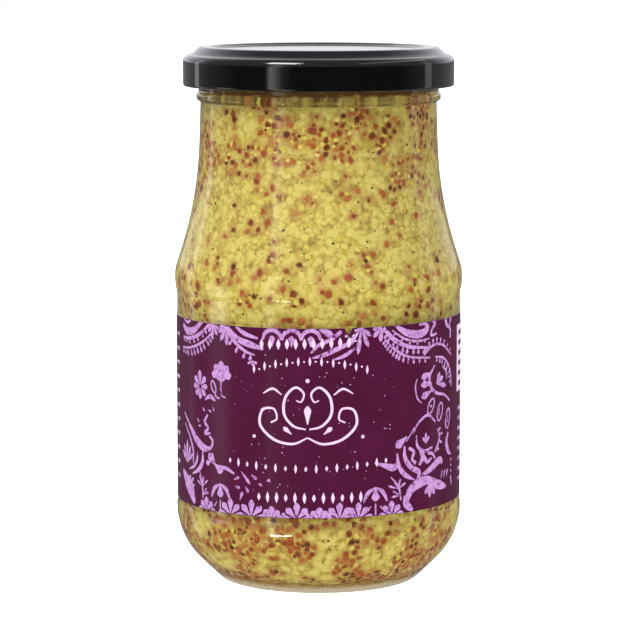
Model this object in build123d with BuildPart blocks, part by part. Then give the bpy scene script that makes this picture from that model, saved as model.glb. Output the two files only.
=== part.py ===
from build123d import *

import os
from math import acos, dist, radians, tan

# A glass jar of whole-grain mustard, closed with a twist-off lid and wrapped in a paper label.
# Millimetres. +Z is up, the origin is the centre of the foot, and the label's front faces -Y.

# Overall
overall_height = 130.8  # table to the crest of the lid

# Jar body, from the table up
foot_width = 3.6  # the flat ring that the jar stands on, corner to corner
push_up = 2.4  # height of the hollow under the middle of the base
push_up_edge = 1.7  # height of that hollow near its edge
push_up_slope = 3.2  # how far in from the foot the hollow reaches that height
heel_inset = 10.8  # the foot's outer corner to the side of the band above the heel
heel_rise = 10.5  # height at which the heel's slope meets that side
panel_bottom = 19.4  # table to the lower edge of the label panel
panel_height = 51.9
panel_diameter = 69.7
heel_step = 0.28  # the band below the panel stands out this far
heel_step_height = 0.8
crease_step = 0.35  # the crease above the panel stands out this far
crease_height = 0.7
shoulder_step = 0.65  # corner of the shoulder, outside the panel
shoulder_rise = 4.7  # the panel's upper edge to that corner
shoulder_height = 18.0  # that corner to the corner of the waist

# Neck and finish
finish_diameter = 58.6  # glass behind the threads
neck_inset = 0.44  # the top of the neck is this much slimmer than the finish
neck_flare = 0.8  # the waist's corner is this much wider than the top of the neck
bead_step = 0.55  # the transfer bead stands out from the finish
bead_height = 1.3
bead_slope = 0.6  # height of the slope above and below the bead
bead_drop = 1.9  # the lid's lower edge to the top of the bead
thread_count = 4
thread_depth = 1.4
thread_root = 2.2  # height of a thread where it leaves the glass
thread_crest = 1.0  # height of its flat outer face
thread_arc = 65  # degrees that each thread runs round the finish
thread_fall = 1.9  # how far it drops along that arc
thread_angle = 20  # degrees from +X to the start of the first thread
thread_bite = 0.2  # a thread's root lies this far inside the glass
thread_above_lug = 0.6  # a thread's low end clears the top of the lugs by this much

# Glass thickness
wall = 2.35
rim_wall = 2.6
floor_thickness = 3.6  # at the middle of the base
foot_thickness = 4.0  # above the foot
heel_wall_rise = 1.8  # the heel's inner corner lies this much above its outer one
shoulder_wall_drop = 0.4  # the shoulder's inner corner lies this much below its outer one

# Lid
sheet = 0.25  # lacquered tinplate
thread_clearance = 2.15  # thread crest to the inside of the skirt
lid_height = 9.55  # crest to the lower edge of the curl
lid_panel_depth = 0.5  # crest to the sunken panel
crest_width = 2.7
crest_overlap = 0.25  # the crest's inner corner lies this much inside the bore of the rim
panel_wall_run = 0.6  # width of the slope from the crest down to the panel
cone_run = 1.7  # width of the slope outside the crest
cone_drop = 1.55
flat_run = 0.55  # nearly flat ring outside that slope
flat_drop = 0.3
skirt_corner_drop = 2.1  # crest to the corner above the skirt
curl_width = 1.25
curl_height = 1.25
lug_count = 4
lug_width = 12.0
lug_height = 1.3
lug_corner = 0.6
lug_clearance = 0.8  # lug to the glass behind the threads
lug_angle = -92.6  # degrees from +X to the first lug

# Mustard
fill_clearance = 0.05  # mustard to glass
headspace = 3.45  # mustard to the underside of the lid

# Label
paper = 0.12
glue = 0.03  # panel to paper
label_gap_below = 1.1  # panel's lower edge to the label
label_gap_above = 5.4  # label to the panel's upper edge
label_tilt = 0.4  # degrees that the label rises towards +X
lap_width = 6.0  # the label's end laps over its start at the back
nick_angle = 11.7  # degrees from the front to the torn nick in the upper edge
nick_width = 2.2
nick_depth = 1.7
nick_overshoot = 0.5  # the cut for the nick starts above the edge and in front of and behind the paper

# Radii and heights that several pieces share
panel_radius = panel_diameter / 2
panel_top = panel_bottom + panel_height
band_radius = panel_radius + heel_step
foot_radius = band_radius - heel_inset
shoulder_corner = panel_top + shoulder_rise
waist_corner = shoulder_corner + shoulder_height
finish_radius = finish_diameter / 2
neck_radius = finish_radius - neck_inset
waist_radius = neck_radius + neck_flare
bore_radius = finish_radius - rim_wall
skirt_bottom = overall_height - lid_height
bead_top = skirt_bottom - bead_drop
bead_bottom = bead_top - bead_height
rim_top = overall_height - sheet
skirt_radius = finish_radius + thread_depth + thread_clearance + sheet
label_bottom = panel_bottom + label_gap_below
label_top = panel_top - label_gap_above
fill_top = overall_height - lid_panel_depth - sheet - headspace


def corner_radii(outline):
    """The radius that rounds each inner corner of an outline of (radius, height, reach) corners.

    A corner's reach is how far from it the rounding starts. Two that share a run too short for
    both are scaled to fit it.
    """
    points = [corner[:2] for corner in outline]
    reaches = [corner[2] for corner in outline]
    room = []
    for start, end, near, far in zip(points, points[1:], reaches, reaches[1:]):
        room.append(min(1, 0.98 * dist(start, end) / max(near + far, 0.001)))
    radii = []
    for i in range(1, len(points) - 1):
        before = Vector(*points[i]) - Vector(*points[i - 1])
        after = Vector(*points[i + 1]) - Vector(*points[i])
        turn = acos(before.normalized().dot(after.normalized()))
        radii.append(reaches[i] * min(room[i - 1], room[i]) / tan(turn / 2))
    return radii


def rounded(outline):
    """The outline as straight runs joined by tangent arcs."""
    return FilletPolyline(*[corner[:2] for corner in outline], radius=corner_radii(outline))


def cavity(gap, top):
    """The inside of the glass as corners from the middle of the floor up to a height, held off by a gap."""
    side = panel_radius - wall - gap
    return [
        (0, push_up + floor_thickness + gap, 0),
        (foot_radius - gap, foot_thickness + gap, 3.5),
        (side, heel_rise + heel_wall_rise, 7.5),
        (side, shoulder_corner - shoulder_wall_drop, 3.0),
        (waist_radius - wall - gap, waist_corner, 12.5),
        (bore_radius - gap, bead_bottom, 4.0),
        (bore_radius - gap, top, 0),
    ]


# One thread of the finish: a low ridge that falls as it runs round the glass.
with BuildPart() as thread:
    with BuildLine() as thread_path:
        Helix(
            pitch=thread_fall * 360 / thread_arc,
            height=thread_fall,
            radius=finish_radius - thread_bite,
            center=(0, 0, skirt_bottom + lug_height + thread_above_lug + thread_root / 2),
        )
    with BuildSketch(Plane(thread_path.line @ 0, x_dir=(1, 0, 0), z_dir=thread_path.line % 0)):
        with BuildLine():
            Polyline(
                (0, -thread_root / 2),
                (thread_depth + thread_bite, -thread_crest / 2),
                (thread_depth + thread_bite, thread_crest / 2),
                (0, thread_root / 2),
                close=True,
            )
        make_face()
    sweep(path=thread_path.line, is_frenet=True)

# Glass jar: foot, heel, label panel, shoulder, neck and threaded finish, one wall turned round the axis.
with BuildPart() as glass_jar:
    with BuildSketch(Plane.XZ):
        with BuildLine():
            outside = [
                (0, push_up, 0),
                (foot_radius - foot_width - push_up_slope, push_up_edge, 1.5),
                (foot_radius - foot_width, 0, 0.6),
                (foot_radius, 0, 0.7),
                (band_radius, heel_rise, 7.8),
                (band_radius, panel_bottom - heel_step_height, 0.3),
                (panel_radius, panel_bottom, 0.3),
                (panel_radius, panel_top, 0.2),
                (panel_radius + crease_step, panel_top + crease_height, 0.4),
                (panel_radius + shoulder_step, shoulder_corner, 2.3),
                (waist_radius, waist_corner, 13.3),
                (neck_radius, bead_bottom - bead_slope, 0.3),
                (finish_radius + bead_step, bead_bottom, 0.4),
                (finish_radius + bead_step, bead_top, 0.4),
                (finish_radius, bead_top + bead_slope, 0.3),
                (finish_radius, rim_top, 1.1),
            ]
            inside = cavity(0, rim_top)
            rim_inner = (*inside[-1][:2], 0.9)
            rounded(outside + [rim_inner] + inside[-2::-1])
            Line((0, push_up), (0, push_up + floor_thickness))
        make_face()
    revolve(axis=Axis.Z)
    with PolarLocations(0, thread_count, start_angle=thread_angle):
        add(thread.part)

# Lid: one sheet pressed to a sunken panel, a raised crest that holds the rim, and a curled skirt with lugs.
with BuildPart() as lid:
    with BuildSketch(Plane.XZ):
        with BuildLine():
            crest_inner = bore_radius - crest_overlap
            crest_outer = crest_inner + crest_width
            lid_panel = overall_height - lid_panel_depth
            cone_foot = overall_height - cone_drop
            rounded(
                [
                    (0, lid_panel, 0),
                    (crest_inner - panel_wall_run, lid_panel, 0.4),
                    (crest_inner, overall_height, 0.4),
                    (crest_outer, overall_height, 0.4),
                    (crest_outer + cone_run, cone_foot, 0.45),
                    (crest_outer + cone_run + flat_run, cone_foot - flat_drop, 0.2),
                    (skirt_radius, overall_height - skirt_corner_drop, 1.5),
                    (skirt_radius, skirt_bottom, 0.6),
                    (skirt_radius - curl_width, skirt_bottom, 0.6),
                    (skirt_radius - curl_width, skirt_bottom + curl_height, 0),
                ]
            )
            offset(amount=sheet, side=Side.RIGHT)
        make_face()
    revolve(axis=Axis.Z)
    with BuildSketch(Plane.XY.offset(skirt_bottom)):
        lug_inner = finish_radius + lug_clearance
        lug_outer = skirt_radius - curl_width + sheet
        with PolarLocations((lug_inner + lug_outer) / 2, lug_count, start_angle=lug_angle):
            RectangleRounded(lug_outer - lug_inner, lug_width, lug_corner)
    extrude(amount=lug_height)

# Mustard: fills the glass from its floor to just under the lid.
with BuildPart() as mustard:
    with BuildSketch(Plane.XZ):
        with BuildLine():
            filling = cavity(fill_clearance, fill_top)
            rounded(filling)
            Polyline(filling[-1][:2], (0, fill_top), filling[0][:2])
        make_face()
    revolve(axis=Axis.Z)

# Label: one strip of paper glued round the panel, its end lapped over its start at the back.
with BuildPart() as label:
    paper_inner = panel_radius + glue
    paper_outer = paper_inner + paper
    with BuildSketch(Plane.XY.offset(panel_bottom)):
        Circle(paper_outer)
        Circle(paper_inner, mode=Mode.SUBTRACT)
    extrude(amount=panel_height)
    with BuildSketch(Plane.XY.offset(panel_bottom)):
        Circle(paper_outer + paper)
        with Locations((0, paper_outer)):
            Rectangle(lap_width, lap_width, mode=Mode.INTERSECT)
        Circle(paper_inner, mode=Mode.SUBTRACT)
    extrude(amount=panel_height)
    lean = (-tan(radians(label_tilt)), 0, 1)
    split(bisect_by=Plane((0, 0, label_bottom), z_dir=lean), keep=Keep.TOP)
    split(bisect_by=Plane((0, 0, label_top), z_dir=lean), keep=Keep.BOTTOM)
    outward = Vector(0, -1, 0).rotate(Axis.Z, nick_angle)
    nick_base = outward * (paper_inner - nick_overshoot) + Vector(0, 0, label_top)
    with BuildSketch(Plane(nick_base, x_dir=Vector(0, 0, 1).cross(outward), z_dir=outward)):
        Polygon(
            (-0.5 * nick_width, nick_overshoot),
            (-0.3 * nick_width, -0.6 * nick_depth),
            (0, -nick_depth),
            (0.2 * nick_width, -0.5 * nick_depth),
            (0.5 * nick_width, nick_overshoot),
            align=None,
        )
    extrude(amount=paper + 2 * nick_overshoot, mode=Mode.SUBTRACT)

pieces = {"glass_jar": glass_jar, "lid": lid, "mustard": mustard, "label": label}
os.makedirs("parts", exist_ok=True)
for name, piece in pieces.items():
    piece.part.label = name
    export_step(piece.part, f"parts/{name}.step")
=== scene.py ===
import math
import random

import bmesh
import bpy
from mathutils import Matrix, Vector, noise
from mathutils.kdtree import KDTree


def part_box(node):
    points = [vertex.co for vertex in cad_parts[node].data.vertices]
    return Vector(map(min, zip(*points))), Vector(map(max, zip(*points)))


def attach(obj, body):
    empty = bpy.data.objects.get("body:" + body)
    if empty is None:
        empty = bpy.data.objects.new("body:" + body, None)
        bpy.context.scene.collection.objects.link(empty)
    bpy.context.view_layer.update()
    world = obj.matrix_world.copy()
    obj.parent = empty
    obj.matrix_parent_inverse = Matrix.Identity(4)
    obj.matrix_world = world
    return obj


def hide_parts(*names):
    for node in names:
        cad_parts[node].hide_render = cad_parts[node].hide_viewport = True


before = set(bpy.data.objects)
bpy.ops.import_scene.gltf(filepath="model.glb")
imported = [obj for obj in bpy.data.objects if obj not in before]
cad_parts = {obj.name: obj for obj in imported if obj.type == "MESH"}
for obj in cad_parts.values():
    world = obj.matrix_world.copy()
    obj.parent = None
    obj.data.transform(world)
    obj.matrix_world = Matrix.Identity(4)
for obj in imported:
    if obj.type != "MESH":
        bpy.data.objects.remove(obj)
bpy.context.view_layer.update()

# --- Glass jar ---------------------------------------------------------------------------------
# Soda-lime glass blown in a two-part mould, clear and fire-polished. The outside keeps a faint
# ripple from the mould, so that reflections waver a little, and thick glass looks slightly grey.
MM = 0.001


def linear(colour):
    """The linear colour of an sRGB hex value, with an alpha of 1."""
    channels = [int(colour[i : i + 2], 16) / 255 for i in (1, 3, 5)]
    return [c / 12.92 if c <= 0.04045 else ((c + 0.055) / 1.055) ** 2.4 for c in channels] + [1]


def node(tree, kind, settings=(), inputs=(), stops=()):
    """Adds a node with its settings, its inputs as values or links, and its (position, hex) stops."""
    added = tree.nodes.new(kind)
    for name, value in dict(settings).items():
        setattr(added, name, value)
    for name, value in dict(inputs).items():
        if isinstance(value, bpy.types.NodeSocket):
            tree.links.new(value, added.inputs[name])
        else:
            added.inputs[name].default_value = value
    if stops:
        elements = added.color_ramp.elements
        while len(elements) < len(stops):
            elements.new(0.5)
        for element, (position, colour) in zip(elements, stops):
            element.position = position
            element.color = linear(colour)
    return added


def new_material(name):
    """An empty material and its node tree."""
    made = bpy.data.materials.new(name)
    made.use_nodes = True
    made.node_tree.nodes.clear()
    return made, made.node_tree


glass, tree = new_material("clear soda-lime glass")
place = node(tree, "ShaderNodeTexCoord").outputs["Object"]
ripple = node(
    tree,
    "ShaderNodeTexNoise",
    inputs={"Vector": place, "Scale": 1 / (9 * MM), "Detail": 1.0},
)
swell = node(
    tree,
    "ShaderNodeBump",
    inputs={"Height": ripple.outputs["Fac"], "Strength": 0.15, "Distance": 0.3 * MM},
)
clear = node(
    tree,
    "ShaderNodeBsdfPrincipled",
    inputs={
        "Base Color": linear("#F4F6F1"),
        "Roughness": 0.02,
        "IOR": 1.52,
        "Transmission Weight": 1.0,
        "Normal": swell.outputs["Normal"],
    },
)
# The ring that the jar stands on is stippled, so it scatters the light that comes up to it.
foot_height = node(tree, "ShaderNodeSeparateXYZ", inputs={"Vector": place}).outputs["Z"]
stippled = node(
    tree,
    "ShaderNodeMapRange",
    inputs={"Value": foot_height, "From Min": 2.4 * MM, "From Max": 0.9 * MM, "To Max": 0.65},
)
scattering = node(tree, "ShaderNodeBsdfDiffuse", inputs={"Color": linear("#8E8579")})
footed = node(
    tree,
    "ShaderNodeMixShader",
    inputs={0: stippled.outputs["Result"], 1: clear.outputs["BSDF"], 2: scattering.outputs["BSDF"]},
)
# Lamps reach the mustard straight through the wall.
lamp_ray = node(tree, "ShaderNodeLightPath").outputs["Is Shadow Ray"]
open_glass = node(tree, "ShaderNodeBsdfTransparent", inputs={"Color": linear("#F6F7F4")})
shown = node(
    tree,
    "ShaderNodeMixShader",
    inputs={0: lamp_ray, 1: footed.outputs["Shader"], 2: open_glass.outputs["BSDF"]},
)
node(tree, "ShaderNodeOutputMaterial", inputs={"Surface": shown.outputs["Shader"]})
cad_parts["glass_jar"].material_slots[0].material = glass

# --- Mustard -----------------------------------------------------------------------------------
# Coarse paste of ground and whole mustard seed in vinegar, spooned in and pressed against the
# glass. It is pale yellow bran and cream in lumps of a grain's size, duller between the lumps.
label_low, label_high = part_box("label")
paste_reach = 0.15 * MM
ring_spacing = 0.75 * MM
turn_steps = 300
lump_size = 2.6 * MM
lump_height = 0.1 * MM
lump_limit = 0.6 * lump_height
tuck_behind_label = 1.5 * MM
stain_reach = 2.0 * MM
# The drifts that the seeds lie in follow one part of a noise field.
drift_width = 6 * MM
drift_offset = Vector((36.3, 15.6, 60.0))


def finish_piece(name, mesh_data, material):
    """Makes a finished mesh a piece of the jar, with its material."""
    data = bpy.data.meshes.new(name)
    mesh_data.to_mesh(data)
    mesh_data.free()
    piece = bpy.data.objects.new(name, data)
    bpy.context.scene.collection.objects.link(piece)
    data.materials.append(material)
    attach(piece, "root")
    return piece


core = bmesh.new()
core.from_mesh(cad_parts["mustard"].data)
bmesh.ops.remove_doubles(core, verts=core.verts, dist=0.001 * MM)
everything = core.verts[:] + core.edges[:] + core.faces[:]
bmesh.ops.bisect_plane(
    core, geom=everything, plane_co=(0, 0, 0), plane_no=(1, 0, 0), clear_inner=True, clear_outer=True
)
bmesh.ops.bisect_plane(
    core,
    geom=core.verts[:] + core.edges[:],
    plane_co=(0, 0, 0),
    plane_no=(0, 1, 0),
    clear_inner=True,
)
bmesh.ops.remove_doubles(core, verts=core.verts, dist=0.02 * MM)
for edge in core.edges[:]:
    cuts = int(edge.calc_length() / ring_spacing)
    if cuts:
        bmesh.ops.subdivide_edges(core, edges=[edge], cuts=cuts)
wall_runs = [(edge.verts[0].co.copy(), edge.verts[1].co.copy()) for edge in core.edges]


def share_at(z, shares):
    """The share at a height, on straight runs between (height in mm, share) marks."""
    for (low, low_share), (high, high_share) in zip(shares, shares[1:]):
        if low * MM <= z <= high * MM:
            return low_share + (high_share - low_share) * (z / MM - low) / (high - low)
    return 0


def seed_places(rng, per_mm2, spacing, shares, clustering):
    """Random spots on the glass wall and their outward directions, none closer than the spacing."""
    spots = []
    cells = {}
    for start, end in wall_runs:
        z = (start + end).z / 2
        if label_low.z + tuck_behind_label < z < label_high.z - tuck_behind_label:
            continue
        run = end - start
        area = math.pi * abs((start + end).y) * run.length / MM**2
        wanted = area * per_mm2 * share_at(z, shares)
        outward = Vector((0, run.z, -run.y)).normalized()
        if outward.y * (start + end).y < 0 or (abs(outward.y) < 0.2 and outward.z > 0):
            outward = -outward
        for _ in range(int(wanted) + (rng.random() < wanted % 1)):
            turned = Matrix.Rotation(rng.uniform(0, 2 * math.pi), 3, "Z")
            spot = turned @ (start + run * rng.random())
            crowd = noise.noise(spot / drift_width + drift_offset)
            if rng.random() > 0.5 + clustering * crowd:
                continue
            cell = tuple(int(c // spacing) for c in spot)
            around = [
                other
                for dx in (-1, 0, 1)
                for dy in (-1, 0, 1)
                for dz in (-1, 0, 1)
                for other in cells.get((cell[0] + dx, cell[1] + dy, cell[2] + dz), ())
            ]
            if all((spot - other).length > spacing for other in around):
                cells.setdefault(cell, []).append(spot)
                spots.append((spot, turned @ outward))
    return spots


# Red seeds have risen into the neck and settled on the floor.
rng = random.Random(4)
low_reds = [(2, 3.2), (11, 2.6), (15, 1.8), (22, 1.2)]
high_reds = [(66, 0.34), (76, 0.26), (84, 0.05), (94, 0.14), (103, 0.7), (112, 1.1), (119, 1.4)]
red_spots = seed_places(
    rng, per_mm2=0.55, spacing=1.0 * MM, shares=low_reds + high_reds, clustering=1.8
)
red_tree = KDTree(len(red_spots))
for i, (spot, _) in enumerate(red_spots):
    red_tree.insert(spot, i)
red_tree.balance()

bmesh.ops.spin(
    core,
    geom=core.verts[:] + core.edges[:],
    cent=(0, 0, 0),
    axis=(0, 0, 1),
    angle=2 * math.pi,
    steps=turn_steps,
    use_merge=True,
)
bmesh.ops.remove_doubles(core, verts=core.verts, dist=0.01 * MM)
bmesh.ops.recalc_face_normals(core, faces=core.faces)
core.normal_update()
stain_layer = core.verts.layers.float.new("stain")
for vertex in core.verts:
    vertex[stain_layer] = max(0, 1 - red_tree.find(vertex.co)[2] / stain_reach)
    lump = noise.noise(vertex.co / lump_size) * lump_height
    vertex.co += vertex.normal * (paste_reach + min(lump, lump_limit))
for face in core.faces:
    face.smooth = True

paste, tree = new_material("whole-grain mustard paste")
place = node(tree, "ShaderNodeTexCoord").outputs["Object"]
# Grains are 1.5 mm across, bran flecks under 1 mm, and duller and brighter areas 9 mm.
grains = node(
    tree,
    "ShaderNodeTexVoronoi",
    settings={"feature": "SMOOTH_F1"},
    inputs={"Vector": place, "Scale": 1 / (1.5 * MM), "Smoothness": 0.35},
)
grain_colour = node(tree, "ShaderNodeSeparateColor", inputs={"Color": grains.outputs["Color"]})
grain_tone = grain_colour.outputs["Red"]
bran = node(
    tree,
    "ShaderNodeTexNoise",
    inputs={"Vector": place, "Scale": 1 / (0.9 * MM), "Detail": 3.0},
)
areas = node(
    tree,
    "ShaderNodeTexNoise",
    inputs={"Vector": place, "Scale": 1 / (9 * MM), "Detail": 2.0},
)
tone = node(
    tree,
    "ShaderNodeMath",
    settings={"operation": "MULTIPLY_ADD"},
    inputs={0: grain_tone, 1: 0.5, 2: bran.outputs["Fac"]},
)
tone = node(
    tree,
    "ShaderNodeMath",
    settings={"operation": "MULTIPLY_ADD"},
    inputs={0: areas.outputs["Fac"], 1: 0.3, 2: tone.outputs["Value"]},
)
gaps = node(
    tree,
    "ShaderNodeMath",
    settings={"operation": "MULTIPLY_ADD"},
    inputs={0: grains.outputs["Distance"], 1: -0.6, 2: tone.outputs["Value"]},
)
fresh = node(
    tree,
    "ShaderNodeValToRGB",
    inputs={"Fac": gaps.outputs["Value"]},
    stops=[(0.18, "#8F7638"), (0.38, "#AA944A"), (0.56, "#B8A653"), (0.76, "#C5B665")],
).outputs["Color"]
# Each red seed has stained the paste round it.
stained = node(
    tree,
    "ShaderNodeMath",
    settings={"operation": "MULTIPLY", "use_clamp": True},
    inputs={
        0: node(tree, "ShaderNodeAttribute", settings={"attribute_name": "stain"}).outputs["Fac"],
        1: node(
            tree,
            "ShaderNodeMapRange",
            inputs={"Value": bran.outputs["Fac"], "From Min": 0.3, "From Max": 0.6, "To Max": 1.25},
        ).outputs["Result"],
    },
)
fresh = node(
    tree,
    "ShaderNodeMix",
    settings={"data_type": "RGBA"},
    inputs={0: stained.outputs["Value"], 6: fresh, 7: linear("#966439")},
).outputs[2]
# Painted shade: the paste is coloured dark brown just under the lid, where the lid shades it, down to a
# ragged edge, and made a little darker in the neck.
height = node(tree, "ShaderNodeSeparateXYZ", inputs={"Vector": place}).outputs["Z"]
ragged = node(
    tree,
    "ShaderNodeMath",
    settings={"operation": "MULTIPLY_ADD"},
    inputs={0: grain_tone, 1: 2.4 * MM, 2: height},
)
painted_lid_shade = node(
    tree,
    "ShaderNodeMapRange",
    settings={"interpolation_type": "SMOOTHSTEP"},
    inputs={"Value": ragged.outputs["Value"], "From Min": 118.2 * MM, "From Max": 121.4 * MM},
)
painted_neck_shade = node(
    tree,
    "ShaderNodeMapRange",
    inputs={"Value": height, "From Min": 92 * MM, "From Max": 112 * MM, "To Max": 0.09},
)
painted_shade_share = node(
    tree,
    "ShaderNodeMath",
    settings={"operation": "MAXIMUM"},
    inputs={0: painted_lid_shade.outputs["Result"], 1: painted_neck_shade.outputs["Result"]},
)
# The paste's colour with the painted shade of the lid and the neck mixed in.
paste_and_painted_shade = node(
    tree,
    "ShaderNodeMix",
    settings={"data_type": "RGBA"},
    inputs={0: painted_shade_share.outputs["Value"], 6: fresh, 7: linear("#4A3210")},
).outputs[2]
grain_relief = node(
    tree,
    "ShaderNodeBump",
    inputs={"Height": grains.outputs["Distance"], "Strength": 0.7, "Distance": -0.4 * MM},
)
body = node(
    tree,
    "ShaderNodeBsdfPrincipled",
    inputs={
        "Base Color": paste_and_painted_shade,
        "Roughness": 0.6,
        "Specular IOR Level": 0.1,
        "Normal": grain_relief.outputs["Normal"],
    },
)
node(tree, "ShaderNodeOutputMaterial", inputs={"Surface": body.outputs["BSDF"]})
paste_piece = finish_piece("mustard_paste", core, paste)
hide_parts("mustard")

# --- Seeds in the mustard ----------------------------------------------------------------------
# Whole seeds pressed against the glass: red-brown ones, which float and settle, so that most lie
# near the neck and the floor, pale yellow ones everywhere, and dark flecks of cracked seed coat.
handful_size = 50
narrowest = 0.68
dent_width = 1.1 * MM
dent_depth = 0.35


def grow_seeds(rng, spots, size, thickness, proud, detail):
    """One mesh of rounded seeds at the spots, each with its own tone, and a rim of 1 at the paste."""
    seeds = bmesh.new()
    handful_data = bpy.data.meshes.new("handful")
    for first in range(0, len(spots), handful_size):
        handful = bmesh.new()
        tone_layer = handful.verts.layers.float.new("tone")
        rim_layer = handful.verts.layers.float.new("rim")
        for spot, outward in spots[first : first + handful_size]:
            radius = rng.uniform(*size) / 2
            thick = rng.uniform(*thickness) / 2
            rise = rng.uniform(*proud)
            centre = spot + outward * (paste_reach + rise - thick)
            facing = outward.to_track_quat("Z", "Y").to_matrix().to_4x4()
            spin = Matrix.Rotation(rng.uniform(0, math.pi), 4, "Z")
            shape = Matrix.Diagonal((radius, radius * rng.uniform(narrowest, 1), thick, 1))
            made = bmesh.ops.create_icosphere(
                handful,
                subdivisions=detail,
                radius=1,
                matrix=Matrix.Translation(centre) @ facing @ spin @ shape,
            )
            seed_tone = rng.random()
            for vertex in made["verts"]:
                vertex[tone_layer] = seed_tone
                vertex[rim_layer] = (thick - (vertex.co - centre).dot(outward)) / rise
                dent = noise.noise(vertex.co / dent_width)
                vertex.co += (vertex.co - centre).cross(outward).cross(outward) * dent * -dent_depth
        for face in handful.faces:
            face.smooth = True
        handful.to_mesh(handful_data)
        handful.free()
        seeds.from_mesh(handful_data)
    bpy.data.meshes.remove(handful_data)
    return seeds


def seed_coat(name, stops, veil_colour, veil_start, roughness):
    """A seed coat: its tone runs through the colours, and paste veils it towards its buried rim."""
    coat, tree = new_material(name)
    place = node(tree, "ShaderNodeTexCoord").outputs["Object"]
    own_tone = node(tree, "ShaderNodeAttribute", settings={"attribute_name": "tone"})
    mottle = node(tree, "ShaderNodeTexNoise", inputs={"Vector": place, "Scale": 1 / (0.7 * MM)})
    mixed = node(
        tree,
        "ShaderNodeMath",
        settings={"operation": "MULTIPLY_ADD"},
        inputs={0: mottle.outputs["Fac"], 1: 0.6, 2: own_tone.outputs["Fac"]},
    )
    shifted = node(
        tree,
        "ShaderNodeMath",
        settings={"operation": "SUBTRACT"},
        inputs={0: mixed.outputs["Value"], 1: 0.3},
    )
    rim = node(tree, "ShaderNodeAttribute", settings={"attribute_name": "rim"})
    ragged = node(
        tree,
        "ShaderNodeMath",
        settings={"operation": "MULTIPLY_ADD"},
        inputs={0: mottle.outputs["Fac"], 1: 0.5, 2: rim.outputs["Fac"]},
    )
    veil = node(
        tree,
        "ShaderNodeMapRange",
        settings={"interpolation_type": "SMOOTHSTEP"},
        inputs={"Value": ragged.outputs["Value"], "From Min": veil_start, "From Max": veil_start + 0.8},
    )
    bare = node(tree, "ShaderNodeValToRGB", inputs={"Fac": shifted.outputs["Value"]}, stops=stops)
    veiled = node(
        tree,
        "ShaderNodeMix",
        settings={"data_type": "RGBA"},
        inputs={0: veil.outputs["Result"], 6: bare.outputs["Color"], 7: linear(veil_colour)},
    )
    surface = node(
        tree,
        "ShaderNodeBsdfPrincipled",
        inputs={
            "Base Color": veiled.outputs[2],
            "Roughness": roughness,
            "Specular IOR Level": 0.15,
        },
    )
    node(tree, "ShaderNodeOutputMaterial", inputs={"Surface": surface.outputs["BSDF"]})
    return coat


red_coat = seed_coat(
    "red-brown seed coat",
    [(0.0, "#4A1E0C"), (0.25, "#76331A"), (0.6, "#934821"), (0.85, "#A15F30"), (1.0, "#A87843")],
    veil_colour="#A0803F",
    veil_start=0.45,
    roughness=0.5,
)
red_seeds = grow_seeds(
    rng,
    red_spots,
    size=(1.7 * MM, 2.7 * MM),
    thickness=(0.8 * MM, 1.1 * MM),
    proud=(0.12 * MM, 0.3 * MM),
    detail=2,
)
finish_piece("red_seeds", red_seeds, red_coat)

yellow_coat = seed_coat(
    "yellow seed coat",
    [(0.0, "#A79A3C"), (0.4, "#BBAE48"), (0.7, "#C6BA58"), (1.0, "#C9B56E")],
    veil_colour="#B09B48",
    veil_start=0.45,
    roughness=0.5,
)
even_shares = [(2, 1.0), (118.4, 1.0)]
yellow_spots = seed_places(
    rng, per_mm2=0.3, spacing=1.3 * MM, shares=even_shares, clustering=1.2
)
yellow_seeds = grow_seeds(
    rng,
    yellow_spots,
    size=(1.6 * MM, 2.5 * MM),
    thickness=(0.8 * MM, 1.2 * MM),
    proud=(0.08 * MM, 0.2 * MM),
    detail=2,
)
finish_piece("yellow_seeds", yellow_seeds, yellow_coat)

dark_coat = seed_coat(
    "cracked dark seed coat",
    [(0.1, "#1E1506"), (0.5, "#3B2E12"), (0.9, "#55451E")],
    veil_colour="#6E5C2A",
    veil_start=0.7,
    roughness=0.6,
)
fleck_spots = seed_places(
    rng, per_mm2=0.1, spacing=0.8 * MM, shares=even_shares, clustering=0.5
)
dark_flecks = grow_seeds(
    rng,
    fleck_spots,
    size=(0.35 * MM, 0.9 * MM),
    thickness=(0.4 * MM, 0.7 * MM),
    proud=(0.1 * MM, 0.2 * MM),
    detail=1,
)
finish_piece("dark_flecks", dark_flecks, dark_coat)

# --- Label -------------------------------------------------------------------------------------
# One strip of coated paper, printed plum and varnished to a satin sheen, glued round the recessed
# panel with its end lapped over its start at the back. Its upper edge has one small torn nick.
label_paper, tree = new_material("satin coated label paper")
place = node(tree, "ShaderNodeTexCoord").outputs["Object"]
# Uneven ink shows as cloudy patches about 7 mm across, and paper tooth as specks of 0.3 mm.
clouds = node(
    tree,
    "ShaderNodeTexNoise",
    inputs={"Vector": place, "Scale": 1 / (7 * MM), "Detail": 3.0},
)
plum = node(
    tree,
    "ShaderNodeValToRGB",
    inputs={"Fac": clouds.outputs["Fac"]},
    stops=[(0.3, "#390724"), (0.55, "#3E0829"), (0.75, "#430A2E")],
).outputs["Color"]
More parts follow.
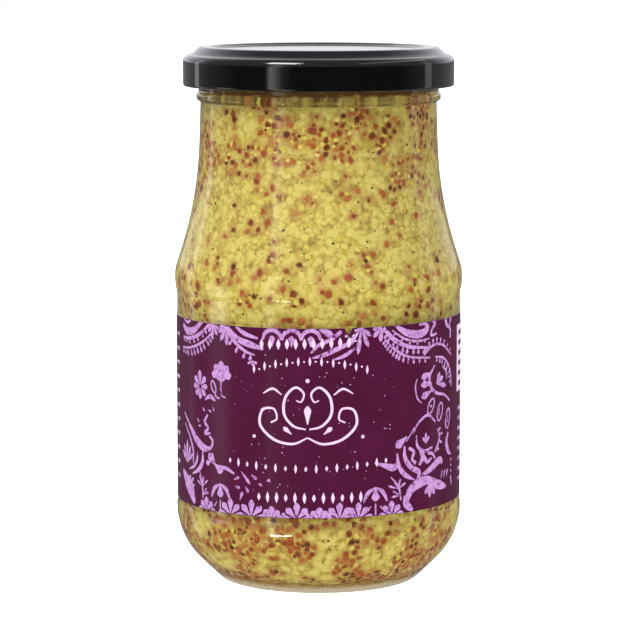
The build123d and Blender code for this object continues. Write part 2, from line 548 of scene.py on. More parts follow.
# Where the strip is cut or torn, its white core shows.
outwards = node(
    tree,
    "ShaderNodeVectorMath",
    settings={"operation": "NORMALIZE"},
    inputs={
        0: node(
            tree,
            "ShaderNodeVectorMath",
            settings={"operation": "MULTIPLY"},
            inputs={0: place, 1: (1, 1, 0)},
        ).outputs["Vector"]
    },
)
facing_out = node(
    tree,
    "ShaderNodeVectorMath",
    settings={"operation": "DOT_PRODUCT"},
    inputs={0: outwards.outputs["Vector"], 1: node(tree, "ShaderNodeNewGeometry").outputs["Normal"]},
)
printed = node(
    tree,
    "ShaderNodeMath",
    settings={"operation": "COMPARE"},
    inputs={0: facing_out.outputs["Value"], 1: 1.0, 2: 0.5},
)
paper_colour = node(
    tree,
    "ShaderNodeMix",
    settings={"data_type": "RGBA"},
    inputs={0: printed.outputs["Value"], 6: linear("#D9CCD2"), 7: plum},
).outputs[2]
tooth = node(
    tree,
    "ShaderNodeTexNoise",
    inputs={"Vector": place, "Scale": 1 / (0.3 * MM), "Detail": 2.0},
)
tooth_bump = node(
    tree,
    "ShaderNodeBump",
    inputs={"Height": tooth.outputs["Fac"], "Strength": 0.15, "Distance": 0.02 * MM},
)
satin = node(
    tree,
    "ShaderNodeBsdfPrincipled",
    inputs={
        "Base Color": paper_colour,
        "Roughness": 0.42,
        "Specular IOR Level": 0.06,
        "Coat Weight": 0.18,
        "Coat Roughness": 0.16,
        "Normal": tooth_bump.outputs["Normal"],
    },
)
node(tree, "ShaderNodeOutputMaterial", inputs={"Surface": satin.outputs["BSDF"]})
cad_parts["label"].material_slots[0].material = label_paper

# --- Printed ornament --------------------------------------------------------------------------
# Paisley leaves, combs and flowers block-printed in lilac ink, with beads and a scroll in white.
# It is drawn flat in millimetres, from the middle of the front and up from the label's lower edge.
paper_radius = 35.0 * MM
label_tilt = math.radians(0.4)
label_bottom = label_low.z + paper_radius * math.tan(label_tilt)
label_top = label_high.z - paper_radius * math.tan(label_tilt)
ink_margin = 0.1 * MM
ink_thickness = 0.02 * MM
nick_spot = Vector((7.1 * MM, -34.3 * MM, label_top))
nick_reach = 1.8 * MM
thinnest_stroke = 0.08


def smooth_path(points, per_run):
    """A smooth line through the points, as Catmull-Rom spans."""
    padded = [points[0] * 2 - points[1], *points, points[-1] * 2 - points[-2]]
    path = []
    for before, start, end, after in zip(padded, padded[1:], padded[2:], padded[3:]):
        for step in range(per_run):
            t = step / per_run
            bend = (before * -1 + start * 3 - end * 3 + after) * t**3
            swing = (before * 2 - start * 5 + end * 4 - after) * t**2
            path.append((bend + swing + (end - before) * t + start * 2) / 2)
    return [*path, points[-1]]


def brush(art, *marks, per_run=6):
    """A brush stroke through (across, up, width) marks."""
    path = smooth_path([Vector(mark) for mark in marks], per_run)
    edge = None
    for i, spot in enumerate(path):
        ahead = path[min(i + 1, len(path) - 1)] - path[max(i - 1, 0)]
        side = Vector((-ahead.y, ahead.x, 0)).normalized() * max(spot.z, thinnest_stroke) / 2
        centre = Vector((spot.x, spot.y, 0))
        if edge is None:
            edge = art.edges.new((art.verts.new(centre + side), art.verts.new(centre - side)))
            left = edge.verts[0].co.copy()
            continue
        grown = bmesh.ops.extrude_edge_only(art, edges=[edge])["geom"]
        edge = [part for part in grown if isinstance(part, bmesh.types.BMEdge)][0]
        near, far = edge.verts
        if (far.co - left).length < (near.co - left).length:
            near, far = far, near
        near.co, far.co = centre + side, centre - side
        left = near.co.copy()


def petal(art, u, v, angle, length, width):
    """A teardrop that widens away from where it starts."""
    du, dv = math.cos(math.radians(angle)) * length, math.sin(math.radians(angle)) * length
    brush(
        art,
        (u, v, 0.15 * width),
        (u + 0.4 * du, v + 0.4 * dv, 0.6 * width),
        (u + 0.75 * du, v + 0.75 * dv, width),
        (u + du, v + dv, 0.2 * width),
        per_run=3,
    )


def fan(art, u, v, angles, lengths, width, hollow=0.0):
    """Petals that spread from one point, starting a little way out from it."""
    for i in range(len(lengths)):
        angle = angles[0] + (angles[1] - angles[0]) * i / max(len(lengths) - 1, 1)
        du, dv = math.cos(math.radians(angle)) * hollow, math.sin(math.radians(angle)) * hollow
        petal(art, u + du, v + dv, angle, lengths[i], width)


def comb(art, marks, teeth, length, width, side):
    """A thin line with teeth along one side of it, shorter near its ends."""
    brush(art, *marks)
    path = smooth_path([Vector(mark) for mark in marks], 12)
    for tooth in range(teeth):
        share = (tooth + 0.5) / teeth
        i = int(share * (len(path) - 2))
        ahead = path[i + 1] - path[i]
        angle = math.degrees(math.atan2(ahead.y, ahead.x)) + side * 82
        petal(art, path[i].x, path[i].y, angle, length * (0.6 + 0.4 * math.sin(math.pi * share)), width)


def ring(art, u, v, across, up, width, turn=0.0):
    """A closed oval drawn with one stroke."""
    marks = []
    for step in range(13):
        angle = step / 12 * 2 * math.pi
        x, y = across * math.cos(angle), up * math.sin(angle)
        du = x * math.cos(turn) - y * math.sin(turn)
        dv = x * math.sin(turn) + y * math.cos(turn)
        marks.append((u + du, v + dv, width))
    brush(art, *marks, per_run=2)


def dot(art, u, v, radius, segments=8):
    """A round spot."""
    spot = Matrix.Translation((u, v, 0))
    bmesh.ops.create_circle(art, cap_ends=True, segments=segments, radius=radius, matrix=spot)


def bell_flower(art, u):
    """A bell flower with its stamens, hanging just above the label's lower edge."""
    for side in (-1, 1):
        brush(art, (u, 6.9, 0.3), (u + side * 1.9, 5.7, 1.0), (u + side * 3.1, 3.4, 0.4))
        brush(art, (u + side * 1.2, 2.4, 0.3), (u + side * 2.1, 1.2, 0.3))
    petal(art, u, 6.8, -90, 3.2, 2.1)
    brush(art, (u, 3.0, 0.4), (u, 0.2, 0.4))


def rows_of_bars(art, columns, rows, low, pitch, shortest, width, per_run):
    """Rows of bars that stand for small print, each bar somewhat shorter than its column."""
    for row in range(rows):
        up = low + pitch * row
        for start, length in columns:
            stretch = length * rng.uniform(shortest, 1)
            brush(art, (start, up, width), (start + stretch, up, width), per_run=per_run)


def print_piece(name, art, lift, material):
    """Trims flat art to the label, wraps it round and makes it a film of ink."""
    bmesh.ops.scale(art, verts=art.verts, vec=(MM, MM, MM))
    for vertex in art.verts:
        angle = vertex.co.x / paper_radius
        radius = paper_radius + lift
        wrapped = (radius * math.sin(angle), -radius * math.cos(angle), label_bottom + vertex.co.y)
        vertex.co = wrapped
        vertex.co.z += wrapped[0] * math.tan(label_tilt)
    lean = Vector((-math.tan(label_tilt), 0, 1)).normalized()
    for height, outside in ((label_bottom + ink_margin, -1), (label_top - ink_margin, 1)):
        bmesh.ops.bisect_plane(
            art,
            geom=art.verts[:] + art.edges[:] + art.faces[:],
            plane_co=(0, 0, height),
            plane_no=lean * outside,
            clear_outer=True,
        )
    torn = [face for face in art.faces if (face.calc_center_median() - nick_spot).length < nick_reach]
    bmesh.ops.delete(art, geom=torn, context="FACES")
    for face in art.faces:
        face.normal_update()
        middle = face.calc_center_median()
        if face.normal.dot(Vector((middle.x, middle.y, 0))) < 0:
            face.normal_flip()
    printed_piece = finish_piece(name, art, material)
    film = printed_piece.modifiers.new("ink film", "SOLIDIFY")
    film.thickness = ink_thickness
    film.offset = -1


lilac = bmesh.new()
# Upper left: nested crescents with combs under them.
brush(lilac, (-42.4, 43.8, 0.9), (-39.6, 42.5, 1.9), (-35.8, 43.2, 1.6), (-32.0, 45.8, 0.9))
brush(lilac, (-41.5, 45.2, 0.4), (-39.4, 44.6, 0.7), (-37.2, 45.8, 0.5))
comb(
    lilac,
    [(-42.4, 40.8, 0.5), (-37.6, 41.0, 0.9), (-32.6, 42.8, 0.9), (-29.0, 45.6, 0.6)],
    teeth=8, length=1.5, width=0.7, side=-1,
)
comb(
    lilac,
    [(-42.8, 38.2, 0.4), (-37.2, 38.8, 0.6), (-31.8, 40.8, 0.6), (-28.2, 43.4, 0.4)],
    teeth=11, length=2.3, width=0.75, side=-1,
)
fan(lilac, -28.0, 45.2, (190, 335), (2.0, 2.6, 3.2, 2.8, 2.2), 0.9)
# Left of the middle: a spray of long leaves that runs down to the right.
fan(lilac, -23.6, 45.0, (180, 300), (2.2, 3.0, 4.0, 4.4, 3.4), 1.1)
brush(lilac, (-23.4, 45.0, 0.8), (-20.4, 42.5, 1.3), (-17.0, 41.3, 1.6), (-13.4, 40.3, 0.6))
brush(lilac, (-20.8, 45.3, 0.5), (-18.2, 43.7, 1.1), (-14.8, 42.8, 0.5))
comb(
    lilac,
    [(-23.6, 44.4, 0.7), (-21.4, 41.8, 0.8), (-18.2, 39.6, 0.7), (-15.6, 38.8, 0.3)],
    teeth=5, length=2.0, width=0.8, side=-1,
)
fan(lilac, -16.2, 37.4, (150, 330), (1.2, 1.5, 1.2, 1.4), 0.7)
# Top of the middle: three scallops, and leaves that lead to the nick.
for across in (-11.2, -6.4, -1.8):
    brush(
        lilac,
        (across - 2.3, 42.6, 0.5),
        (across - 1.7, 44.2, 0.9),
        (across, 45.0, 1.0),
        (across + 1.7, 44.2, 0.9),
        (across + 2.3, 42.6, 0.5),
    )
    petal(lilac, across, 41.0, 90, 2.6, 1.5)
brush(lilac, (0.2, 45.2, 0.4), (2.4, 44.2, 1.6), (3.6, 42.6, 0.4))
brush(lilac, (5.4, 44.6, 0.9), (2.8, 42.8, 0.9), (0.0, 41.4, 0.9), (-1.8, 39.6, 0.4))
brush(lilac, (7.8, 42.0, 0.8), (4.6, 40.6, 1.1), (1.4, 39.2, 1.0), (-1.4, 38.4, 0.4))
brush(lilac, (8.6, 40.6, 0.5), (6.4, 39.0, 0.9), (3.8, 38.0, 0.4))
# Left side: two flowers, a leaf, loose dashes and a knotted tendril.
fan(lilac, -25.4, 33.0, (8, 172), (3.2, 3.4, 3.7, 3.4, 3.2), 2.0)
brush(lilac, (-26.8, 32.6, 0.6), (-25.4, 32.2, 1.1), (-24.0, 32.6, 0.6))
brush(lilac, (-25.4, 32.4, 0.5), (-25.5, 30.0, 0.4), (-25.2, 28.4, 0.4), (-24.0, 27.9, 0.5))
fan(lilac, -33.2, 29.8, (-90, 230), (2.6, 2.5, 2.4, 2.8, 3.4, 2.8, 2.4, 2.4), 1.5, hollow=0.5)
ring(lilac, -28.0, 30.2, 1.5, 0.7, 0.42, turn=-1.2)
brush(lilac, (-27.6, 28.8, 0.3), (-27.0, 27.8, 0.6), (-25.9, 27.6, 0.4))
brush(lilac, (-31.2, 26.8, 0.5), (-29.2, 27.7, 1.1), (-27.4, 26.8, 0.5))
for u, v, angle in (
    (-32.2, 24.8, -50),
    (-30.0, 24.4, -20),
    (-28.3, 25.4, -70),
    (-34.6, 21.9, -50),
    (-34.2, 20.0, 10),
):
    petal(lilac, u, v, angle, 1.2, 0.6)
brush(
    lilac,
    (-30.2, 23.2, 0.5),
    (-31.4, 21.4, 0.9),
    (-30.1, 20.0, 0.7),
    (-31.2, 18.6, 1.0),
    (-29.2, 18.8, 0.4),
)
# Left side, lower half: a hooked plume over nested crescents and a tuft.
brush(
    lilac,
    (-41.8, 22.4, 0.4),
    (-38.6, 19.8, 0.9),
    (-35.2, 16.8, 1.8),
    (-32.0, 15.0, 1.9),
    (-29.2, 15.2, 0.8),
    (-28.4, 17.0, 0.7),
    (-29.7, 18.1, 0.5),
)
brush(lilac, (-41.4, 19.8, 0.3), (-38.4, 16.8, 0.6), (-36.6, 13.6, 0.7), (-36.7, 10.4, 0.4))
brush(lilac, (-32.2, 14.2, 0.4), (-32.4, 11.4, 1.1), (-34.0, 9.4, 1.1), (-37.0, 7.9, 0.4))
brush(lilac, (-34.5, 13.6, 0.3), (-34.8, 11.6, 0.8), (-36.2, 9.9, 0.8), (-38.8, 8.8, 0.3))
fan(lilac, -40.0, 10.2, (40, 140), (4.2, 4.8, 5.6, 4.8, 4.2), 1.0)
brush(lilac, (-43.0, 8.0, 0.8), (-40.6, 6.0, 3.0), (-38.0, 3.8, 3.4), (-36.0, 0.8, 1.0))
fan(lilac, -39.2, 4.6, (10, 70), (3.4, 3.6, 3.0), 0.9)
# Lower left: paired leaves, a twig, a bell flower and scattered dashes.
petal(lilac, -27.4, 11.2, 130, 3.6, 2.3)
petal(lilac, -28.8, 12.0, 200, 2.2, 1.3)
petal(lilac, -27.6, 11.4, -30, 3.0, 2.4)
brush(lilac, (-25.4, 11.0, 0.7), (-23.6, 10.8, 0.9), (-21.4, 9.8, 0.4))
brush(lilac, (-33.6, 9.0, 0.3), (-32.6, 6.4, 0.5), (-32.2, 2.6, 0.5))
fan(lilac, -32.5, 5.4, (40, 150), (2.9, 2.7, 2.9, 2.5), 0.6)
fan(lilac, -32.3, 3.4, (20, 50), (2.6, 2.4), 0.6)
bell_flower(lilac, -25.8)
for u, v, angle, length in (
    (-21.6, 8.4, 25, 1.8),
    (-21.2, 6.8, -10, 1.4),
    (-19.4, 10.6, -50, 3.8),
    (-16.6, 10.0, -35, 1.8),
    (-19.8, 3.6, 70, 2.2),
    (-18.2, 7.0, -60, 1.6),
    (-14.8, 8.0, -20, 1.2),
    (-12.6, 8.6, 30, 1.0),
):
    petal(lilac, u, v, angle, length, 0.8)
# Upper right: two sprays, a thick hooked crescent and double combs.
fan(lilac, 10.2, 45.4, (205, 320), (4.4, 5.6, 6.4, 5.0, 3.2), 1.1)
fan(lilac, 15.4, 45.4, (195, 265), (2.4, 3.2, 3.6), 1.1)
comb(
    lilac,
    [(15.8, 45.0, 0.9), (19.0, 41.9, 1.1), (23.6, 39.9, 0.9), (29.8, 39.2, 0.5)],
    teeth=10, length=2.0, width=0.8, side=-1,
)
comb(
    lilac,
    [(16.2, 42.2, 0.4), (18.8, 39.8, 0.6), (23.0, 37.6, 0.6), (30.4, 36.6, 0.4)],
    teeth=12, length=1.8, width=0.7, side=-1,
)
brush(
    lilac,
    (18.6, 45.8, 0.6),
    (22.2, 43.5, 1.6),
    (26.6, 42.7, 2.0),
    (29.2, 43.8, 1.4),
    (28.4, 45.1, 0.9),
    (26.4, 44.9, 0.5),
)
comb(
    lilac,
    [(18.2, 44.3, 0.3), (21.8, 42.0, 0.6), (25.8, 41.1, 0.6), (30.2, 41.3, 0.3)],
    teeth=5, length=1.0, width=0.6, side=-1,
)
brush(
    lilac,
    (30.4, 46.0, 0.7),
    (32.2, 44.8, 0.8),
    (31.0, 43.4, 0.6),
    (30.8, 42.0, 0.7),
    (33.0, 42.2, 0.5),
)
brush(lilac, (37.0, 46.2, 1.2), (37.7, 43.9, 1.0), (39.8, 42.6, 0.8), (39.8, 40.4, 0.8))
petal(lilac, 39.4, 43.2, 70, 2.4, 0.9)
# Right side: arched combs, a stem with teardrop leaves, and rings.
comb(
    lilac,
    [(28.0, 37.4, 0.4), (31.2, 39.4, 0.6), (35.6, 39.2, 0.6), (40.4, 36.2, 0.4)],
    teeth=9, length=1.7, width=0.7, side=1,
)
comb(
    lilac,
    [(32.4, 36.6, 0.4), (36.4, 35.8, 0.6), (39.8, 32.6, 0.6), (40.8, 28.4, 0.4)],
    teeth=8, length=1.8, width=0.7, side=-1,
)
brush(
    lilac,
    (32.2, 34.6, 0.4),
    (30.2, 32.0, 0.8),
    (30.8, 29.4, 0.9),
    (33.2, 27.7, 0.8),
    (36.6, 26.9, 0.6),
    (39.8, 25.0, 0.5),
)
for v, angle in ((33.0, 195), (30.4, 180), (28.6, 200)):
    petal(lilac, 31.0, v, angle, 3.9, 1.8)
brush(lilac, (25.8, 32.0, 0.3), (25.2, 30.2, 0.4), (25.8, 27.4, 0.4), (27.4, 25.9, 0.3))
fan(lilac, 33.0, 30.0, (-12, 62), (4.6, 3.4, 3.0), 1.3)
brush(lilac, (35.6, 34.0, 0.4), (37.4, 32.6, 0.6), (38.0, 30.6, 0.4))
ring(lilac, 30.8, 24.8, 1.0, 2.0, 0.45, turn=-0.5)
ring(lilac, 34.6, 23.0, 1.1, 2.2, 0.45, turn=-0.3)
ring(lilac, 38.6, 20.8, 1.1, 2.4, 0.55, turn=-0.2)
petal(lilac, 34.4, 24.0, -95, 1.8, 0.6)
petal(lilac, 38.6, 21.8, -95, 1.9, 0.7)
dot(lilac, 30.8, 24.8, 0.35)
# Right side, lower half: an arch over a tulip and roots, with crescents to its left.
brush(lilac, (24.4, 18.8, 0.3), (26.4, 21.4, 0.6), (29.6, 22.8, 0.7), (32.6, 20.8, 0.4))
brush(lilac, (25.0, 20.4, 0.3), (23.2, 18.2, 0.3), (22.4, 17.2, 0.3))
brush(lilac, (25.6, 18.4, 0.3), (25.9, 15.8, 0.7), (28.2, 14.2, 0.9), (31.4, 14.8, 0.5))
fan(lilac, 28.9, 16.0, (55, 125), (2.0, 2.6, 2.0), 0.8)
comb(
    lilac,
    [(33.6, 19.0, 0.4), (34.4, 16.6, 0.6), (32.6, 13.4, 0.7)],
    teeth=4, length=1.6, width=0.7, side=1,
)
brush(lilac, (26.8, 14.6, 0.8), (27.8, 12.8, 1.4), (26.6, 11.0, 0.6))
brush(lilac, (28.0, 13.2, 0.9), (29.4, 11.5, 1.0), (31.2, 12.2, 0.4))
brush(lilac, (29.6, 13.6, 0.6), (31.4, 13.2, 0.8), (32.6, 11.8, 0.4))
brush(lilac, (23.2, 15.6, 0.8), (24.8, 14.4, 0.8), (24.2, 12.8, 0.7), (25.4, 11.6, 0.9))
petal(lilac, 22.6, 18.4, 215, 4.0, 2.1)
brush(
    lilac,
    (21.9, 16.2, 0.4),
    (22.0, 13.4, 1.1),
    (23.8, 10.9, 1.3),
    (26.5, 9.3, 1.3),
    (25.9, 7.5, 0.4),
)
brush(lilac, (19.7, 14.6, 0.4), (20.3, 11.4, 1.1), (22.2, 9.1, 1.2), (25.0, 7.7, 0.4))
brush(lilac, (13.6, 12.8, 0.3), (16.0, 12.1, 1.0), (18.6, 11.3, 1.8), (19.6, 12.2, 0.4))
brush(lilac, (27.4, 8.4, 0.5), (30.6, 9.5, 1.5), (34.4, 11.2, 1.8), (35.8, 10.2, 0.7))
brush(lilac, (38.9, 17.4, 0.5), (37.9, 15.0, 1.3), (39.0, 12.7, 1.3), (40.7, 11.7, 0.4))
for v, size in ((10.4, 0.4), (9.0, 0.35), (7.6, 0.4)):
    dot(lilac, 40.7, v, size)
brush(lilac, (40.6, 6.4, 0.6), (41.2, 4.0, 0.5))
# Lower right: a twig, a bell flower and a broad cut leaf.
brush(lilac, (18.0, 9.0, 0.3), (20.1, 6.6, 0.5), (20.9, 3.2, 0.5))
fan(lilac, 20.0, 6.0, (30, 160), (2.6, 2.5, 2.7, 2.9), 0.6)
fan(lilac, 20.6, 4.4, (150, 185), (2.4, 2.4), 0.6)
bell_flower(lilac, 13.9)
brush(lilac, (22.4, 2.6, 1.2), (24.2, 5.6, 2.2), (28.2, 7.0, 2.4), (32.4, 6.6, 1.0))
brush(lilac, (31.6, 6.4, 1.4), (34.8, 5.0, 2.2), (37.8, 4.2, 0.6))
fan(lilac, 30.6, 6.4, (235, 330), (3.4, 3.8, 3.6, 4.2), 1.3)
brush(lilac, (22.2, 4.2, 1.0), (22.6, 2.0, 2.0), (24.4, 0.3, 0.8))
for u in (35.2, 36.6, 38.0):
    petal(lilac, u, 6.4, 75, 2.2, 0.6)
# Half flowers stand along the lower edge.
for u, reach in (
    (-30.8, 2.8),
    (-22.6, 3.4),
    (-16.6, 3.6),
    (-11.4, 2.4),
    (-5.2, 3.4),
    (0.2, 2.4),
    (5.0, 3.4),
    (9.6, 3.2),
    (18.2, 3.0),
):
    lengths = (reach, 0.95 * reach, 1.05 * reach, 0.95 * reach, reach)
    fan(lilac, u, -0.3, (5, 175), lengths, 1.6, hollow=0.5)
for u in (-8.4, -2.6, 2.6):
    dot(lilac, u, 0.9, 0.45)
# Specks of stray ink lie between the motifs.
rng = random.Random(11)
for _ in range(170):
    u, v = rng.uniform(-22, 20), rng.uniform(5, 39)
    if noise.noise(Vector((u / 5, v / 5, 3))) > 0.02:
        dot(lilac, u, v, rng.uniform(0.07, 0.2), segments=5)
# Each side's information panel is only rows of bars, in columns given by (start, length).
left_columns = ((-73.0, 7.5), (-64.0, 10.0), (-52.5, 5.6))
rows_of_bars(lilac, left_columns, rows=11, low=6.0, pitch=3.5, shortest=0.75, width=0.7, per_run=6)
right_columns = ((46.4, 6.0), (54.0, 11.0), (66.5, 8.0))
rows_of_bars(lilac, right_columns, rows=8, low=4.6, pitch=2.5, shortest=0.75, width=0.8, per_run=10)

worn_ink, tree = new_material("worn lilac printing ink")
place = node(tree, "ShaderNodeTexCoord").outputs["Object"]
# The block printed unevenly: pinholes are 0.4 mm across, and thin patches of ink about 2 mm.
pinholes = node(
    tree,
    "ShaderNodeTexNoise",
    inputs={"Vector": place, "Scale": 1 / (0.8 * MM), "Detail": 1.0},
)
thin = node(
    tree,
    "ShaderNodeTexNoise",
    inputs={"Vector": place, "Scale": 1 / (3 * MM), "Detail": 2.0},
)
cover = node(
    tree,
    "ShaderNodeMath",
    settings={"operation": "MULTIPLY_ADD"},
    inputs={0: thin.outputs["Fac"], 1: 0.5, 2: pinholes.outputs["Fac"]},
)
ink_colour = node(
    tree,
    "ShaderNodeValToRGB",
    inputs={"Fac": cover.outputs["Value"]},
    stops=[(0.5, "#511D3D"), (0.56, "#83568C"), (0.7, "#9A70A2"), (0.95, "#A67EAE")],
).outputs["Color"]
ink = node(
    tree,
    "ShaderNodeBsdfPrincipled",
    inputs={"Base Color": ink_colour, "Roughness": 0.45, "Specular IOR Level": 0.15},
)
node(tree, "ShaderNodeOutputMaterial", inputs={"Surface": ink.outputs["BSDF"]})
print_piece("lilac_ornament", lilac, 0.05 * MM, worn_ink)

white = bmesh.new()


def bead(u, v, width, height):
    """An upright pointed bead."""
    brush(white, (u, v - height / 2, 0.1), (u, v, width), (u, v + height / 2, 0.1), per_run=3)


# Two rows of beads at the top, the lower one arched.
for i in range(11):
    bead(-13.8 + i * 2.1, 41.5 + 0.05 * i, 1.0, 2.5)
for i in range(11):
    across = -15.8 + i * 2.75
    rise = 37.6 - 0.0115 * (across + 2.4) ** 2
    bead(across, rise, 0.65, 2.1)
    if i < 10:
        dot(white, across + 1.38, rise, 0.24)
# A symmetrical scroll fills the middle: on each side an outer curl, an inner curl and a brow.
scroll_middle = -2.6
scroll_weight = 0.72
outer_curl = [(0.0, 19.4, 0.5), (3.6, 17.9, 0.8), (8.2, 18.9, 0.9), (11.6, 22.2, 0.9)]
outer_curl += [(11.0, 25.8, 0.8), (8.2, 26.2, 0.7), (7.4, 23.9, 0.6), (8.9, 22.9, 0.5)]
inner_curl = [(0.4, 21.4, 0.5), (3.4, 22.2, 0.8), (5.6, 25.0, 0.9), (5.3, 29.0, 0.9)]
inner_curl += [(2.9, 31.4, 0.8), (0.9, 30.0, 0.7), (1.5, 28.0, 0.5), (2.7, 28.3, 0.4)]
brow = [(6.2, 29.6, 0.4), (8.4, 31.0, 0.8), (10.8, 29.8, 0.4)]
for side in (-1, 1):
    for marks in (outer_curl, inner_curl, brow):
        brush(white, *[(scroll_middle + side * u, v, scroll_weight * width) for u, v, width in marks])
    petal(white, scroll_middle + side * 3.8, 20.2, 90 - side * 50, 2.6, 1.1)
    dot(white, scroll_middle + side * 13.2, 19.4, 0.45)
petal(white, scroll_middle, 22.6, 90, 4.4, 1.7)
dot(white, scroll_middle, 33.0, 0.5)
# Two rows of beads close the panel below.
for i in range(17):
    across = -22.6 + i * 2.45
    bead(across, 11.9 + 0.0032 * (across + 4) ** 2, 0.7, 2.1 if i % 2 else 1.2)
for i in range(12):
    bead(-14.6 + i * 2.25, 4.9, 0.85, 2.6 if i % 3 else 1.8)
# Torn paper fibres stand round the nick.
for u, v, angle in (
    (6.2, 43.3, 20),
    (7.0, 43.0, -15),
    (7.9, 43.3, 40),
    (8.9, 43.2, 75),
    (9.3, 42.4, -30),
    (8.2, 42.2, 10),
):
    petal(white, u, v, angle, 0.9, 0.4)
# The side panel's white field, and the marks at the other side's edge.
bmesh.ops.create_grid(
    white,
    x_segments=30,
    y_segments=1,
    size=1,
    matrix=Matrix.Translation((60.1, 34.6, 0)) @ Matrix.Diagonal((15.0, 8.2, 1, 1)),
)
for row in range(11):
    dot(white, -46.6, 6.0 + 3.5 * row, 0.55)


def printing_ink(name, stops):
    """A dull, even ink whose colour drifts between its stops in patches about 1 mm across."""
    printed_ink, tree = new_material(name)
    place = node(tree, "ShaderNodeTexCoord").outputs["Object"]
    uneven = node(
        tree,
        "ShaderNodeTexNoise",
        inputs={"Vector": place, "Scale": 1 / (1.5 * MM), "Detail": 2.0},
    )
    tint = node(tree, "ShaderNodeValToRGB", inputs={"Fac": uneven.outputs["Fac"]}, stops=stops)
    surface = node(
        tree,
        "ShaderNodeBsdfPrincipled",
        inputs={
            "Base Color": tint.outputs["Color"],
            "Roughness": 0.45,
            "Specular IOR Level": 0.15,
        },
    )
    node(tree, "ShaderNodeOutputMaterial", inputs={"Surface": surface.outputs["BSDF"]})
    return printed_ink


white_ink = printing_ink("white printing ink", [(0.3, "#B99DBA"), (0.6, "#C5AAC4")])
print_piece("white_ornament", white, 0.075 * MM, white_ink)

# The bars on the white field are dark green-black.
bars = bmesh.new()
field_columns = ((46.8, 7.0), (55.2, 9.5), (66.0, 7.5))
rows_of_bars(bars, field_columns, rows=6, low=28.2, pitch=2.5, shortest=0.7, width=1.1, per_run=10)
black_ink = printing_ink("green-black printing ink", [(0.3, "#1C2A24"), (0.6, "#26362E")])
print_piece("dark_bars", bars, 0.1 * MM, black_ink)

# --- Lid ---------------------------------------------------------------------------------------
# Tinplate pressed to shape and stove-lacquered black. The lacquer is glossy, with a very slight
# orange peel, and shows the studio as dim, soft-edged streaks.
lacquer, tree = new_material("gloss black lacquer on tinplate")
place = node(tree, "ShaderNodeTexCoord").outputs["Object"]
peel = node(
    tree,
    "ShaderNodeTexNoise",
    inputs={"Vector": place, "Scale": 1 / (1.2 * MM), "Detail": 1.0},
)
peel_bump = node(
    tree,
    "ShaderNodeBump",
    inputs={"Height": peel.outputs["Fac"], "Strength": 0.02, "Distance": 0.01 * MM},
)
depth_of_colour = node(
    tree,
    "ShaderNodeValToRGB",
    inputs={"Fac": peel.outputs["Fac"]},
    stops=[(0.3, "#040405"), (0.7, "#080708")],
)
black = node(
    tree,
    "ShaderNodeBsdfPrincipled",
    inputs={
        "Base Color": depth_of_colour.outputs["Color"],
        "Roughness": 0.1,
        "Coat Weight": 0.6,
        "Coat Roughness": 0.04,
        "Normal": peel_bump.outputs["Normal"],
    },
)
node(tree, "ShaderNodeOutputMaterial", inputs={"Surface": black.outputs["BSDF"]})
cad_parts["lid"].material_slots[0].material = lacquer

# --- Studio ------------------------------------------------------------------------------------
# A wide pale table, soft lamps round it, and the camera a little above the lid, looking slightly
# down. The lid and the glass mirror only the lamps and a dim room with a bright ceiling.
table = bmesh.new()
just_below = Matrix.Translation((0, 0, -0.05 * MM))
bmesh.ops.create_circle(table, cap_ends=True, segments=96, radius=4, matrix=just_below)
table_data = bpy.data.meshes.new("table")
table.to_mesh(table_data)
table.free()
table_piece = bpy.data.objects.new("table", table_data)
bpy.context.scene.collection.objects.link(table_piece)
table_piece.visible_glossy = False
table_piece.visible_shadow = False
pale, tree = new_material("pale matte table")
place = node(tree, "ShaderNodeTexCoord").outputs["Object"]
speckle = node(tree, "ShaderNodeTexNoise", inputs={"Vector": place, "Scale": 1 / (40 * MM)})
near_white = node(
    tree,
    "ShaderNodeValToRGB",
    inputs={"Fac": speckle.outputs["Fac"]},
    stops=[(0.3, "#F2F2F2"), (0.7, "#F6F6F6")],
)
matte = node(
    tree,
    "ShaderNodeBsdfPrincipled",
    inputs={
        "Base Color": near_white.outputs["Color"],
        "Roughness": 0.9,
        "Specular IOR Level": 0.0,
        "Emission Color": linear("#FFFFFF"),
        "Emission Strength": 1.0,
    },
)
# From below, the jar is seen through the table.
from_below = node(tree, "ShaderNodeNewGeometry").outputs["Backfacing"]
unseen = node(tree, "ShaderNodeBsdfTransparent")
one_sided = node(
    tree,
    "ShaderNodeMixShader",
    inputs={0: from_below, 1: matte.outputs["BSDF"], 2: unseen.outputs["BSDF"]},
)
node(tree, "ShaderNodeOutputMaterial", inputs={"Surface": one_sided.outputs["Shader"]})
table_data.materials.append(pale)

aim = Vector((0, 0, 65 * MM))


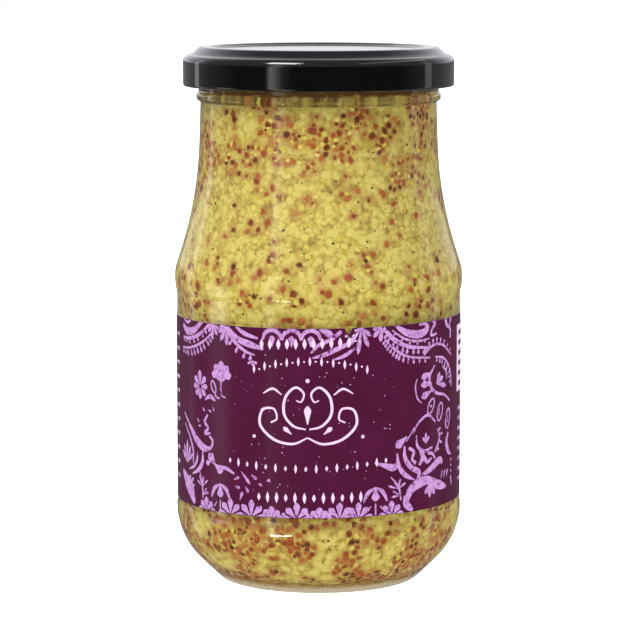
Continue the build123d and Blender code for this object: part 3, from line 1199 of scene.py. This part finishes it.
def soft_lamp(name, azimuth, elevation, distance, width, height, radiance, across=None, mirrored=True):
    """A lamp that faces the jar, at an azimuth that is 0 on the camera's side and grows rightwards.

    Its brightness may be graded across its width, from its left as the camera sees it.
    """
    lamp = bpy.data.lights.new(name, "AREA")
    lamp.shape = "RECTANGLE"
    lamp.size = width
    lamp.size_y = height
    lamp.energy = radiance * width * height * math.pi
    if across:
        lamp.use_nodes = True
        tree = lamp.node_tree
        tree.nodes.clear()
        spot = node(tree, "ShaderNodeNewGeometry").outputs["Parametric"]
        along = node(tree, "ShaderNodeSeparateXYZ", inputs={"Vector": spot}).outputs["X"]
        grading = node(tree, "ShaderNodeValToRGB", inputs={"Fac": along}, stops=across)
        graded = node(tree, "ShaderNodeEmission", inputs={"Color": grading.outputs["Color"]})
        node(tree, "ShaderNodeOutputLight", inputs={"Surface": graded.outputs["Emission"]})
    holder = bpy.data.objects.new(name, lamp)
    bpy.context.scene.collection.objects.link(holder)
    turn, lift = math.radians(azimuth), math.radians(elevation)
    away = Vector((math.sin(turn) * math.cos(lift), -math.cos(turn) * math.cos(lift), math.sin(lift)))
    holder.location = aim + away * distance
    holder.rotation_euler = away.to_track_quat("Z", "Y").to_euler()
    holder.visible_glossy = mirrored
    holder.visible_camera = False
    return holder


# Azimuth and elevation are in degrees, then come distance, width and height in metres, and radiance.
strip_grading = [(0.0, "#000000"), (0.16, "#FFFFFF"), (0.6, "#606060"), (1.0, "#000000")]
low_grading = [(0.0, "#404040"), (0.5, "#FFFFFF"), (1.0, "#202020")]
soft_lamp("key", -36, 47, 1.3, 0.5, 0.5, 13)
soft_lamp("strip", -33, 0, 1.2, 0.46, 1.2, 1.6, across=strip_grading)
soft_lamp("back_left", -124, 0, 1.3, 0.16, 1.4, 0.85)
soft_lamp("back_right", 105, 0, 1.3, 0.2, 1.4, 0.6)
soft_lamp("left_panel", -75, 8, 1.2, 0.5, 0.9, 1.7, mirrored=False)
soft_lamp("left_low", -86, -11, 1.2, 0.6, 0.3, 2.4, across=low_grading)
soft_lamp("overhead", 180, 78, 1.4, 1.4, 1.4, 1.5, mirrored=False)
soft_lamp("front_fill", 22, 3, 1.6, 1.2, 0.8, 0.8, mirrored=False)
soft_lamp("table_bounce", 0, -65, 1.2, 1.6, 0.8, 3.1, mirrored=False)
soft_lamp("low_glint", -31, -25, 1.3, 0.38, 0.06, 20).visible_diffuse = False
soft_lamp("right_panel", 75, 8, 1.2, 0.5, 0.9, 4.5, mirrored=False)
soft_lamp("right_rim", 85, 50, 1.3, 1.8, 0.12, 2.0)

world = bpy.data.worlds.new("studio")
world.use_nodes = True
tree = world.node_tree
tree.nodes.clear()
direction = node(tree, "ShaderNodeTexCoord").outputs["Generated"]
along = node(tree, "ShaderNodeSeparateXYZ", inputs={"Vector": direction}).outputs
behind = node(
    tree,
    "ShaderNodeMapRange",
    inputs={"Value": along["Y"], "From Min": -0.3, "From Max": 0.5},
)
wall = node(
    tree,
    "ShaderNodeValToRGB",
    inputs={"Fac": behind.outputs["Result"]},
    stops=[(0.0, "#0C0C0D"), (1.0, "#7A7A7E")],
)
ceiling = node(
    tree,
    "ShaderNodeValToRGB",
    inputs={"Fac": along["Y"]},
    stops=[(0.3, "#8C8C92"), (0.85, "#F8F8FF")],
)
above = node(
    tree,
    "ShaderNodeMapRange",
    inputs={"Value": along["Z"], "From Min": 0.0, "From Max": 0.03},
)
room = node(
    tree,
    "ShaderNodeMix",
    settings={"data_type": "RGBA"},
    inputs={0: above.outputs["Result"], 6: wall.outputs["Color"], 7: ceiling.outputs["Color"]},
).outputs[2]
paths = node(tree, "ShaderNodeLightPath").outputs
surround = node(
    tree,
    "ShaderNodeMix",
    settings={"data_type": "RGBA"},
    inputs={0: paths["Is Camera Ray"], 6: linear("#B4B4B4"), 7: linear("#FFFFFF")},
).outputs[2]
seen = node(
    tree,
    "ShaderNodeMix",
    settings={"data_type": "RGBA"},
    inputs={0: paths["Is Glossy Ray"], 6: surround, 7: room},
).outputs[2]
sky = node(tree, "ShaderNodeBackground", inputs={"Color": seen, "Strength": 1.0})
node(tree, "ShaderNodeOutputWorld", inputs={"Surface": sky.outputs["Background"]})
bpy.context.scene.world = world

camera_data = bpy.data.cameras.new("camera")
camera_data.lens = 169.5
camera_data.sensor_width = 36
camera_data.shift_x = 0.0022
camera = bpy.data.objects.new("camera", camera_data)
camera.location = (0, -737.35 * MM, 158 * MM)
camera.rotation_euler = (math.radians(90 - 7.304), 0, 0)
bpy.context.scene.collection.objects.link(camera)
bpy.context.scene.camera = camera
bpy.context.scene.view_settings.view_transform = "Standard"
